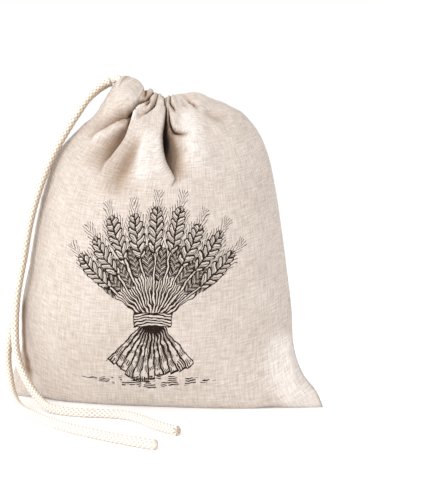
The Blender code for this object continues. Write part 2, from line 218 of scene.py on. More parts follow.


# Unbleached braided cotton: matt and cream, with painted shade between the yarns and on the side
# towards the bag, and slightly mottled by its loose fibres.
FIBRES, FIBRE_DEPTH = 2.2, 0.2  # tufts of fibre to a millimetre, and how far they stand out
flat = {"noise_dimensions": "2D"}
cotton = bpy.data.materials.new("braided_cotton_yarn")
cotton.use_nodes = True
tree = cotton.node_tree
shader = tree.nodes["Principled BSDF"]
relief_and_shade = add(tree, "ShaderNodeAttribute", {"attribute_name": "relief_and_shade"})
place = add(tree, "ShaderNodeUVMap", {"uv_map": "cord_mm"})
fibre = add(
    tree, "ShaderNodeTexNoise", flat,
    Vector=place.outputs["UV"], Scale=FIBRES, Detail=4.0, Roughness=0.7)
# Painted shade: the low places between the yarns and the side towards the bag are coloured darker.
tone = add(tree, "ShaderNodeValToRGB", None, Fac=relief_and_shade.outputs["Fac"])
tone.color_ramp.elements[0].position = 0.0
tone.color_ramp.elements[0].color = linear("#806a55")
tone.color_ramp.elements[1].position = 0.8
tone.color_ramp.elements[1].color = linear("#f5efe6")
tone.color_ramp.elements.new(0.35).color = linear("#cdbca8")
mottle = add(
    tree, "ShaderNodeMixRGB", {"blend_type": "MULTIPLY"},
    Fac=0.25, Color1=tone.outputs["Color"], Color2=fibre.outputs["Fac"])
shade = add(tree, "ShaderNodeHueSaturation", None, Value=1.12, Color=mottle.outputs["Color"])
tree.links.new(shade.outputs["Color"], shader.inputs["Base Color"])
bump = add(
    tree, "ShaderNodeBump", None,
    Strength=0.5, Distance=FIBRE_DEPTH * MM, Height=fibre.outputs["Fac"])
tree.links.new(bump.outputs["Normal"], shader.inputs["Normal"])
for socket, value in (
    ("Roughness", 0.9), ("Sheen Weight", 0.25), ("Sheen Roughness", 0.5), ("Specular IOR Level", 0.2),
):
    shader.inputs[socket].default_value = value

for name, points in (("drawcord_tail_front", FRONT_TAIL), ("drawcord_tail_back", BACK_TAIL)):
    route = smooth_route(points, TAIL_STEP)
    cord = braided_cord(name + "_braid", route, CORD, frayed=True)
    cord.data.materials.append(cotton)
    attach(cord, "root")
    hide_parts(name)

# --- Bag cloth ------------------------------------------------------------------------
# One length of natural linen, folded across the bottom, sewn up both sides and turned in
# round the mouth as the cord's channel. The drawn cord gathers it into deep pleats.
CLOTH = 0.8  # thickness
CUT_WIDTH = 260.0  # from one side seam to the other
STITCH_UP, CORD_UP = 275.0, 283.0  # up the cloth from the bottom fold
FRONT_COLUMNS, BACK_COLUMNS = 230, 100
FINE_FROM, FINE_TO, FINE_EDGE = 64.0, 176.0, 20.0
LOW_ROWS, HIGH_ROWS, HIGH_FROM = 38, 80, 170.0
THREAD_POINTS, COUNT_POINTS, FOLD_POINTS = 481, 521, 65
CLOTH_WELD = 0.02

# The cloth at some distances up it. Each row has where that thread ends at the left and right
# seams, how far back the seams, the front and the back stand, how high its middle lies, how
# squarely it bulges, how late it climbs to the seams, and how far it is crowded and turned.
SECTION_NAMES = (
    "up", "left_x", "left_z", "right_x", "right_z", "seam_y",
    "front_y", "back_y", "mid_z", "power", "blunt", "climb", "crowd", "turn",
)
SECTIONS = (
    (0, -131.4, 1.5, 131.4, 1.5, -7, -7, -7, 0.0, 2.6, 1.00, 6.0, 0.00, 0.20),
    (15, -130.6, 14.0, 126.0, 14.0, -5, -17, 8, 0.0, 2.8, 1.00, 6.0, 0.00, 0.20),
    (28, -127.6, 26.0, 117.0, 25.0, -4, -27, 21, 0.0, 2.8, 1.00, 6.0, 0.00, 0.19),
    (40, -122.0, 38.5, 112.0, 35.5, -2, -35, 31, 9.5, 2.7, 0.92, 4.2, 0.00, 0.16),
    (56, -120.2, 55.0, 108.6, 50.0, -1, -42.5, 41, 26.0, 2.5, 0.84, 3.4, 0.00, 0.11),
    (80, -118.2, 79.0, 107.6, 74.0, 0, -49, 48, 51.0, 2.4, 0.75, 3.2, 0.00, 0.05),
    (115, -110.4, 114.0, 103.7, 109.0, 1, -53, 53, 86.0, 2.3, 0.70, 3.2, 0.00, 0.01),
    (150, -104.2, 148.5, 99.2, 143.5, 1, -54, 54, 121.0, 2.2, 0.70, 3.2, 0.02, 0.00),
    (185, -95.6, 182.5, 94.0, 178.0, 0, -52, 50, 156.0, 2.2, 0.70, 3.2, 0.08, 0.00),
    (210, -86.0, 206.0, 88.6, 203.0, -2, -48, 42, 180.5, 2.3, 0.68, 3.2, 0.18, 0.00),
    (235, -66.4, 226.0, 80.0, 223.0, -4, -42, 33, 205.5, 2.4, 0.64, 3.2, 0.38, 0.00),
    (257, -50.5, 235.0, 69.6, 234.6, -6, -36, 25, 226.0, 2.6, 0.60, 3.2, 0.70, 0.00),
    (STITCH_UP, -40.0, 246.4, 56.0, 241.4, -7, -28, 14, 241.5, 3.0, 0.58, 3.2, 1.00, 0.00),
    (CORD_UP, -34.0, 253.4, 47.4, 244.6, -7, -22, 8, 248.5, 3.0, 0.58, 3.2, 1.00, 0.00),
)

# How the cord crowds the cloth, as shares of the way across: of the cloth, then of the mouth.
CROWD_NAMES = ("cloth", "mouth")
CROWDS = ((0.0, 0.0), (0.3, 0.36), (0.5, 0.515), (0.7, 0.64), (1.0, 1.0))

# How far the crest of the mouth rises above its plain line.
CREST_NAMES = ("x", "rise")
CREST = (
    (-60, 7.0), (-38, 6.8), (-32, 7.8), (-28, 9.6), (-24.4, 11.4), (-21.8, 8.2), (-18.5, 3.2),
    (-15, 0.6), (-9, 2.6), (-5.6, 0.6), (-1.6, -0.6), (5.7, -3.8), (14.5, -3.2), (17.7, -3.0),
    (25.8, 0.4), (33.8, 2.4), (40.2, 0.0), (50, -1.0), (60, 0.0),
)
CREST_FROM_UP = 225.0

# The hem in eight turns, from the stitches over the cord and the crest and back inside: how
# far each is above and outside the stitches, how much it takes up the folds, and its slack.
CORD_RISE, CREST_RISE = 8.0, 14.4
CHANNEL_NAMES = ("turn", "rise", "out", "ruffle", "slack")
CHANNEL = (
    (0, 0.0, 2.4, 1.0, 9.0), (1, 3.6, 3.1, 1.0, 3.0), (2, CORD_RISE, 3.5, 1.0, 0.2), (3, 12.2, 2.7, 0.9, 0.2),
    (4, CREST_RISE, 0.0, 0.5, 0.6), (5, 12.4, -2.6, 0.1, 0.2), (6, CORD_RISE, -3.6, 0.0, 0.1),
    (7, 3.0, -3.2, 0.0, 0.1), (8, 0.0, -0.8, 0.0, 0.1),
)
CHANNEL_ROWS = 26
HEM_CLOTH = 34.0  # the cloth turned over, from the stitches out and back
OPEN_SEAM = 9.0  # left unsewn at each side of the seam for the cord
STITCH_SWELL, GATHER_SWELL, BACK_SWELL, SWELL_REACH = 2.4, 3.4, 2.2, 30.0
GATHER_FROM_X, GATHER_TO_X, GATHER_EDGE = -38.0, 24.0, 12.0

# Folds of the front and the back: how much steeper one side is (the right or lower side above
# 0, the left or upper below 0) and how far that side is drawn over the fold, in fold widths,
# then stations down its line, each with x, z, depth (a ridge is negative) and half width.
FOLD_LEAN, FOLD_EDGE = 0.6, 0.9
DRAWN_AT, DRAWN_WIDTH, DRAWN_DEPTH = 1.3, 1.2, 4.0  # where, how widely, and from what depth
FRONT_FOLDS = (
    (1.2, 0.5, (
        (-2.6, 254, 3, 1.6), (-3.0, 250.2, 5, 1.7), (-5.6, 246.0, 7, 1.8), (-10.6, 240.6, 9, 2.1),
        (-15.4, 236.2, 10, 2.4), (-21.6, 233.0, 9, 2.8), (-30.2, 229.9, 7.5, 3.6), (-43, 222.6, 5, 5.0),
        (-57, 214, 0, 8.0))),
    (0.0, 0.0, (
        (-7, 242, 0, 1.6), (-10.6, 238.0, -1.6, 1.6), (-17.6, 231.8, -3.0, 1.5), (-27.8, 226.0, -3.2, 1.8),
        (-43, 217.5, -1.7, 2.6), (-56, 210, 0, 4.0))),
    (1.2, 0.5, (
        (-16.2, 237.4, 0, 1.2), (-17.8, 234.0, 5, 1.7), (-20.2, 228.0, 10, 3.4), (-25.0, 215.2, 12, 5.8),
        (-32.0, 205.2, 9.5, 6.6), (-38.6, 196.0, 4.6, 7.4), (-46, 186, 0, 9.0))),
    (0.0, 0.0, (
        (-13, 218, 0, 4.0), (-17.0, 209, 3.4, 5.5), (-22.6, 197, 5.0, 7.0), (-29, 184, 4.2, 8.5),
        (-38, 168, 0, 11.0))),
    (0.0, 0.0, (
        (-2.6, 224, 0, 6.0), (-4.8, 210, -3.0, 7.5), (-6.4, 196, -3.4, 9.0), (-8, 176, 0, 12.0))),
    (0.4, 0.6, (
        (0.8, 254, 2.4, 1.4), (0.4, 248, 3.6, 1.4), (-0.2, 243.6, 4.2, 1.5), (-2.2, 237.6, 5.0, 1.7),
        (-7.0, 233.8, 4.4, 1.7), (-12.0, 232.0, 1.6, 2.0), (-15.5, 231.4, 0, 2.4))),
    (0.0, 0.0, (
        (-4.4, 246, 0.6, 1.2), (-5.4, 243, 2.8, 1.2), (-8.0, 239.6, 3.0, 1.3), (-11.0, 236.2, 0, 1.6))),
    (0.0, 0.0, ((-10.8, 245.6, 0, 1.5), (-9.4, 249.6, 4.4, 1.8), (-8.8, 256, 4.4, 1.8))),
    (0.0, 0.0, ((3.0, 256, 3.4, 1.2), (3.2, 249, 3.0, 1.2), (3.4, 244, 0.6, 1.3))),
    (0.0, 0.0, ((8.2, 255, 3.4, 1.2), (7.8, 248, 3.0, 1.2), (8.0, 241, 0.4, 1.3))),
    (-1.3, 0.65, (
        (5.6, 255, 2.4, 1.3), (4.9, 247, 3.0, 1.3), (4.8, 242.6, 4.4, 1.4), (6.4, 236.6, 6, 1.5),
        (6.0, 229.6, 9, 1.9), (3.2, 218.6, 19, 4.6), (3.4, 205.4, 18, 6.8), (5.2, 196.6, 13.5, 7.8),
        (10.2, 186.8, 7, 7.6), (15.5, 176, 0, 9.0))),
    (0.0, 0.0, ((7.8, 244, 0, 1.6), (9.2, 236, -1.6, 1.5), (10.0, 228, -1.8, 1.6), (11.2, 220, 0, 2.4))),
    (1.0, 0.5, (
        (9.8, 239, 0, 1.2), (11.2, 232.4, 4.6, 1.6), (12.6, 226.0, 7.4, 2.1), (15.2, 221.8, 7.4, 2.2),
        (19.6, 220.2, 5.6, 2.4), (25.8, 219.2, 2.8, 2.6), (31, 219.4, 0, 3.4))),
    (0.6, 0.4, (
        (12.4, 255, 3.4, 1.3), (11.4, 247, 3.4, 1.3), (11.6, 242.4, 4.4, 1.4), (14.2, 237.2, 4.6, 1.6),
        (16.0, 232, 0, 2.0))),
    (0.0, 0.0, ((22, 240, 0, 6.0), (27.5, 226, -3.0, 7.0), (31, 206, -3.6, 9.0), (32, 182, 0, 13.0))),
    (0.5, 0.3, (
        (22.4, 249.6, 1.4, 1.4), (26.2, 245.4, 3.2, 1.5), (31, 240.6, 3.2, 1.7), (35.4, 237, 0, 2.4))),
    (0.3, 0.0, ((19.5, 247, 0, 1.4), (22.6, 241.6, 1.8, 1.5), (27, 236.6, 0, 2.4))),
    (0.3, 0.0, ((36, 236.5, 0, 2.6), (41.5, 233.9, 1.8, 2.4), (50.4, 230.7, 2.0, 2.6), (58, 232.4, 0, 3.6))),
    (0.0, 0.0, ((118, 4, -4, 10.0), (108, 26, -8, 13.0), (104, 62, 0, 16.0))),
)
BACK_FOLDS = (
    (0.3, 0.5, ((-22, 258, 2.6, 3.0), (-28, 240, 6, 5.0), (-38, 218, 6, 8.0), (-52, 194, 0, 12.0))),
    (-0.3, 0.5, ((-13, 258, 3.2, 2.6), (-16, 236, 6, 4.4), (-20, 212, 5, 7.0), (-26, 182, 0, 11.0))),
    (0.0, 0.0, ((-5.5, 258, 3.2, 2.2), (-6, 242, 4, 3.0), (-7, 228, 3, 4.0), (-10, 212, 0, 6.0))),
    (0.3, 0.8, ((2, 258, 3.4, 2.6), (3, 236, 8, 4.6), (3, 206, 7, 8.0), (2, 166, 0, 13.0))),
    (0.0, 0.0, ((9.5, 258, 3.2, 2.2), (12, 240, 5, 3.2), (15, 224, 4, 5.0), (20, 204, 0, 7.0))),
    (-0.3, 0.5, ((17.5, 258, 3, 2.6), (24, 238, 6, 4.4), (32, 214, 6, 7.5), (44, 186, 0, 11.0))),
    (0.0, 0.0, ((28, 258, 2, 2.8), (36, 243, 4, 4.0), (48, 228, 3, 6.0), (62, 212, 0, 9.0))),
)


def column(table, names, name):
    return np.array([row[names.index(name)] for row in table], float)


def read(table, names, name, at):
    """A table's values of one name, at places between those of its first column."""
    return curve_through(column(table, names, names[0]), column(table, names, name), at)


def section_row(up, side, cloth):
    """One thread across the front (side -1) or back (side 1), crowded as the cord draws it."""
    row = {name: float(read(SECTIONS, SECTION_NAMES, name, up)) for name in SECTION_NAMES}
    across = np.sin(np.linspace(-math.pi / 2, math.pi / 2, THREAD_POINTS))
    bulge = (1 - np.abs(across) ** row["power"]) ** row["blunt"]
    depth = row["front_y"] if side < 0 else row["back_y"]
    seam_z = np.where(across < 0, row["left_z"], row["right_z"])
    x = (row["left_x"] + row["right_x"]) / 2 + (row["right_x"] - row["left_x"]) / 2 * across
    y = row["seam_y"] + (depth - row["seam_y"]) * bulge - row["turn"] * x
    z = row["mid_z"] + (seam_z - row["mid_z"]) * np.abs(across) ** row["climb"]
    crest = smoothstep((up - CREST_FROM_UP) / (STITCH_UP - CREST_FROM_UP))
    z += crest * read(CREST, CREST_NAMES, "rise", x)
    line = np.stack([x, y, np.maximum(z, CLOTH / 2)], axis=1)
    share = cloth + row["crowd"] * (read(CROWDS, CROWD_NAMES, "mouth", cloth) - cloth)
    run = length_along(line)
    return points_at(line, run, share * run[-1])


def girth_row(up):
    return np.concatenate((section_row(up, -1, front_cloth), section_row(up, 1, back_cloth)[-2:0:-1]))


def round_tangent(rows):
    return unit(np.roll(rows, -1, axis=-2) - np.roll(rows, 1, axis=-2))


def press_fold(x, z, fold):
    """How deep one fold lies at places seen from the front, how steep, and what it draws aside."""
    steep, draw, stations = fold
    stations = np.array(stations, float)
    knots = length_along(stations[:, :2])
    t = np.linspace(0, knots[-1], FOLD_POINTS)
    names = ("x", "z", "depth", "width")
    line = {name: curve_through(knots, stations[:, k], t) for k, name in enumerate(names)}
    near = np.argmin((x[..., None] - line["x"]) ** 2 + (z[..., None] - line["z"]) ** 2, axis=-1)
    tangent_x, tangent_z = np.gradient(line["x"], t)[near], np.gradient(line["z"], t)[near]
    off_x, off_z = x - line["x"][near], z - line["z"][near]
    sideways = off_z * tangent_x - off_x * tangent_z
    beyond = off_x * tangent_x + off_z * tangent_z
    width = line["width"][near]
    lean = np.maximum(width * (1 - FOLD_LEAN * steep * np.where(sideways > 0, 1, -1)), FOLD_EDGE)
    ends = np.where((near == 0) | (near == len(t) - 1), np.exp(-(beyond / width) ** 2), 1.0)
    depth = line["depth"][near] * ends * np.exp(-(sideways / lean) ** 2)
    side = np.sign(steep)
    over = np.exp(-((sideways - side * DRAWN_AT * lean) / (DRAWN_WIDTH * lean)) ** 2)
    pull = -side * draw * width * ends * smoothstep(line["depth"][near] / DRAWN_DEPTH) * over
    return depth, np.maximum(depth, 0) / width, pull * -tangent_z, pull * tangent_x


# Threads lie closer together in the mesh where the folds are, and so do the upper rows.
fine = np.linspace(0, CUT_WIDTH, COUNT_POINTS)
closeness = 1 + smoothstep((fine - FINE_FROM) / FINE_EDGE) * smoothstep((FINE_TO - fine) / FINE_EDGE)
count = np.cumsum(closeness) - closeness[0]
front_cloth = np.interp(np.linspace(0, count[-1], FRONT_COLUMNS + 1), count, fine) / CUT_WIDTH
back_cloth = np.linspace(0, 1, BACK_COLUMNS + 1)
cloth_u = np.concatenate((front_cloth, 1 + (1 - back_cloth[-2:0:-1]))) * CUT_WIDTH
ups = np.concatenate((np.linspace(0, HIGH_FROM, LOW_ROWS)[:-1], np.linspace(HIGH_FROM, STITCH_UP, HIGH_ROWS)))
smooth = np.array([girth_row(up) for up in ups])
girth = smooth.shape[1]

# The turned hem: out over the cord, over the crest and down inside to the stitches.
stitch = smooth[-1]
upward = unit(girth_row(CORD_UP) - stitch)
out_of = unit(np.cross(round_tangent(stitch), upward))
turns = np.linspace(0, CHANNEL[-1][0], CHANNEL_ROWS)
channel = {name: read(CHANNEL, CHANNEL_NAMES, name, turns)[:, None] for name in CHANNEL_NAMES}
hem = stitch + out_of * channel["out"][..., None] + upward * channel["rise"][..., None]
plain = np.concatenate((smooth[:-1], hem))
outward = np.concatenate((
    unit(np.cross(round_tangent(smooth), np.gradient(smooth, axis=0)))[:-1],
    np.broadcast_to(out_of, hem.shape)))

# The drawn cord swells the cloth round the mouth, and its pleats run down from there. Over
# the cord a pleat is hardly deeper than the swell, so the cord stays covered.
ROOM_GROWTH = 1.2  # how much deeper a pleat may be for each millimetre down from the stitches
SEAM_STIFF = 10  # no fold comes nearer to a side seam at its full depth
is_hem = np.arange(len(plain)) >= len(ups) - 1
heights = np.concatenate((ups[:-1], np.full(CHANNEL_ROWS, STITCH_UP)))
from_stitch = (STITCH_UP - heights)[:, None]
seam_off = np.minimum(cloth_u % CUT_WIDTH, CUT_WIDTH - cloth_u % CUT_WIDTH)[None, :]
ruffle = np.concatenate((np.ones((len(ups) - 1, 1)), channel["ruffle"]))
slack = np.concatenate((np.full((len(ups) - 1, 1), CHANNEL[0][-1]), channel["slack"]))
is_front = (cloth_u > 0) & (cloth_u < CUT_WIDTH)
gathered = smoothstep((plain[..., 0] - GATHER_FROM_X) / GATHER_EDGE)
gathered *= smoothstep((GATHER_TO_X - plain[..., 0]) / GATHER_EDGE)
swell = gathered * np.where(is_front, GATHER_SWELL, BACK_SWELL)
room = slack + swell + ROOM_GROWTH * from_stitch
deep = np.zeros(plain.shape[:2])
sharp = np.zeros(plain.shape[:2])
aside = np.zeros(plain.shape)
fade = smoothstep(seam_off / SEAM_STIFF)
for side, folds in ((is_front, FRONT_FOLDS), (cloth_u > CUT_WIDTH, BACK_FOLDS)):
    for fold in folds:
        depth, steepness, pull_x, pull_z = press_fold(plain[:, side, 0], plain[:, side, 2], fold)
        deep[:, side] += depth
        sharp[:, side] = np.maximum(sharp[:, side], steepness)
        aside[:, side, 0] += pull_x
        aside[:, side, 2] += pull_z
deep *= fade
pressed = np.where(deep > 0, room * np.tanh(deep / room), deep * ruffle)
aside *= (fade * ruffle ** 2)[..., None]

# Fine gathers run down from the stitches and die away; the loose cloth below is a little
# uneven everywhere and puckers along the side seams.
UNEVEN, UNEVEN_SIZE, UNEVEN_EDGE = 0.9, (34, 46), 14  # depth, size across and up, and fade at the seams
CRINKLE, CRINKLE_SIZE = 0.22, (9, 13)
FINE_CRINKLE, FINE_CRINKLE_SIZE = 0.5, (5, 6)  # as a share of the coarser crinkles
CALM, CALM_REACH = 0.25, 14  # what is left of them at the stitches, and how far that reaches
PUCKER, PUCKER_LENGTH, PUCKER_REACH, PUCKER_EDGE = 0.9, 7, 9, 3  # reach and fade from the seam
GATHER, GATHER_LENGTH, GATHER_SEAM = 0.6, 26, 30  # depth, length down, and fade at the seams
GATHER_WAVE = 5.2  # a gather's width over two pi
GATHER_WANDER, GATHER_WANDER_WIDTH = 2.4, 21
FLAT_FOOT = 22  # the cloth lies smooth at the bottom fold and is fully uneven this far up


def patchy(size, layer):
    """Soft noise over the cloth in patches of some size across and up."""
    wide, tall = size
    return np.array([[noise.noise(Vector((u / wide, up / tall, layer))) for u in cloth_u] for up in heights])


uneven = patchy(UNEVEN_SIZE, 3.1)
crinkle = patchy(CRINKLE_SIZE, 7.7) + FINE_CRINKLE * patchy(FINE_CRINKLE_SIZE, 2.2)
wander = np.array([noise.noise(Vector((u / GATHER_WANDER_WIDTH, 0.5, 0))) for u in cloth_u])
wave = np.sin(cloth_u / GATHER_WAVE + GATHER_WANDER * wander)[None, :]
pucker = np.array([noise.noise(Vector((up / PUCKER_LENGTH, 11.0, 0.0))) for up in heights])[:, None]
calm = CALM + (1 - CALM) * smoothstep(from_stitch / CALM_REACH)
uneven_here = smoothstep(seam_off / UNEVEN_EDGE) * ruffle * calm
pucker_here = np.exp(-(seam_off / PUCKER_REACH) ** 2) * smoothstep(seam_off / PUCKER_EDGE) * ruffle
gather_here = smoothstep(1 - from_stitch / GATHER_LENGTH) * smoothstep(seam_off / GATHER_SEAM)
depth = pressed + (UNEVEN * uneven + CRINKLE * crinkle) * uneven_here
depth += PUCKER * pucker * pucker_here
depth += GATHER * (wave - 1) * gather_here * gathered * ruffle
depth *= smoothstep(heights / FLAT_FOOT)[:, None]
depth -= swell * smoothstep(1 - from_stitch / SWELL_REACH) * ruffle
depth -= np.where(is_hem[:, None], 0.0, STITCH_SWELL * smoothstep(1 - from_stitch / SWELL_REACH))
rows = plain - outward * depth[..., None] + aside

# Each pleat and gather draws the crest down a little where it crosses it.
PLEAT_PINCH, PLEAT_FULL, GATHER_PINCH = 1.6, 3, 0.9
pinch = PLEAT_PINCH * smoothstep(deep[is_hem] / PLEAT_FULL)
pinch += GATHER_PINCH * smoothstep(wave) * gathered[is_hem]
rows[is_hem] -= upward * (pinch * (channel["rise"] / CREST_RISE) ** 3)[..., None]
rows[..., 2] = np.maximum(rows[..., 2], CLOTH / 2)

# Shade is painted into the cloth's colour: darker deep in the folds and down their steep sides,
# and a painted shadow where the front tail hangs against it, low on the left.
CREASE_FROM, CREASE_SPAN = 0.7, 2.6
HOLLOW_BASE, HOLLOW_DEPTH, HOLLOW_MOST = 0.12, 15, 0.56
RUFFLE_SHADE, INSIDE_SHADE = 1.6, 0.3
CORD_SHADE, CORD_SHADE_AT, CORD_SHADE_REACH = 0.66, 7.0, 5.0
CORD_SHADE_FROM, CORD_SHADE_TO, CORD_SHADE_EDGE = 8.0, 94.0, 16
CORD_TURNS_IN, CORD_TURN = 40, 0.6  # the height below which the tail turns in, and how fast
crease_shade = smoothstep((sharp * fade - CREASE_FROM) / CREASE_SPAN)
hollow_shade = np.clip(HOLLOW_BASE + deep / HOLLOW_DEPTH, 0, HOLLOW_MOST)
shade_amount = np.maximum(crease_shade, hollow_shade) * np.clip(RUFFLE_SHADE * ruffle, INSIDE_SHADE, 1)
cord_shadow = smoothstep((plain[..., 2] - CORD_SHADE_FROM) / CORD_SHADE_EDGE)
cord_shadow *= smoothstep((CORD_SHADE_TO - plain[..., 2]) / CORD_SHADE_EDGE)
shade_at = CORD_SHADE_AT + CORD_TURN * np.maximum(0, CORD_TURNS_IN - plain[..., 2])
cord_shadow *= np.exp(-((cloth_u - shade_at) / CORD_SHADE_REACH) ** 2)
shade_amount = np.maximum(shade_amount, CORD_SHADE * cord_shadow)
rise_v = np.concatenate((ups[:-1], STITCH_UP + np.linspace(0, HEM_CLOTH, CHANNEL_ROWS)))

last_row = len(rows) - 1
hem_row = len(ups) - 1
around_u = np.append(cloth_u, 2 * CUT_WIDTH)
cut = bmesh.new()
bmesh.ops.create_grid(cut, x_segments=girth, y_segments=last_row, size=1.0)
cut_uv = cut.loops.layers.uv.new("cloth_mm")
painted_shade = cut.verts.layers.float.new("painted_shade")
for vert in cut.verts:
    i = round((vert.co.x + 1) / 2 * girth)
    j = round((vert.co.y + 1) / 2 * last_row)
    vert.co = rows[j, i % girth] * MM
    vert[painted_shade] = shade_amount[j, i % girth]
    for loop in vert.link_loops:
        loop[cut_uv].uv = (around_u[i], rise_v[j])
    vert.tag = j >= hem_row and min(around_u[i], 2 * CUT_WIDTH - around_u[i]) <= OPEN_SEAM
opening = [face for face in cut.faces if all(vert.tag for vert in face.verts)]
bmesh.ops.delete(cut, geom=opening, context="FACES")
bmesh.ops.remove_doubles(cut, verts=cut.verts, dist=CLOTH_WELD * MM)
bmesh.ops.recalc_face_normals(cut, faces=cut.faces)
mesh = bpy.data.meshes.new("bag_linen")
cut.to_mesh(mesh)
cut.free()
mesh.shade_smooth()
bag = bpy.data.objects.new("bag_linen", mesh)
scene.collection.objects.link(bag)
thick = bag.modifiers.new("cloth_thickness", "SOLIDIFY")
thick.thickness = CLOTH * MM
thick.offset = 0.0

# Washed natural linen: matt, warm grey-beige, with uneven slubby threads both ways. Its
# front has a dark brown line print, a sheaf of wheat, that the weave breaks up a little.
THREAD, THREAD_DEPTH = 1.1, 0.4  # about twice a real thread's size, so that the weave shows
SLUB = 11.0  # the length of a thicker stretch of thread
GRAIN, CLOUD = 0.8, 0.03  # flecks, and soft patches of tone, to a millimetre
HAND, HAND_REACH = 0.11, 4.0  # waves of the drawing hand to a millimetre, and how far they reach
INK_GAPS, INK_FROM = 0.16, 0.47  # gaps in the fine lines to a millimetre, and the noise where they end
PRINT_MIDDLE = (136.0, 125.0)  # across the cloth and up it, with the hand's waves added

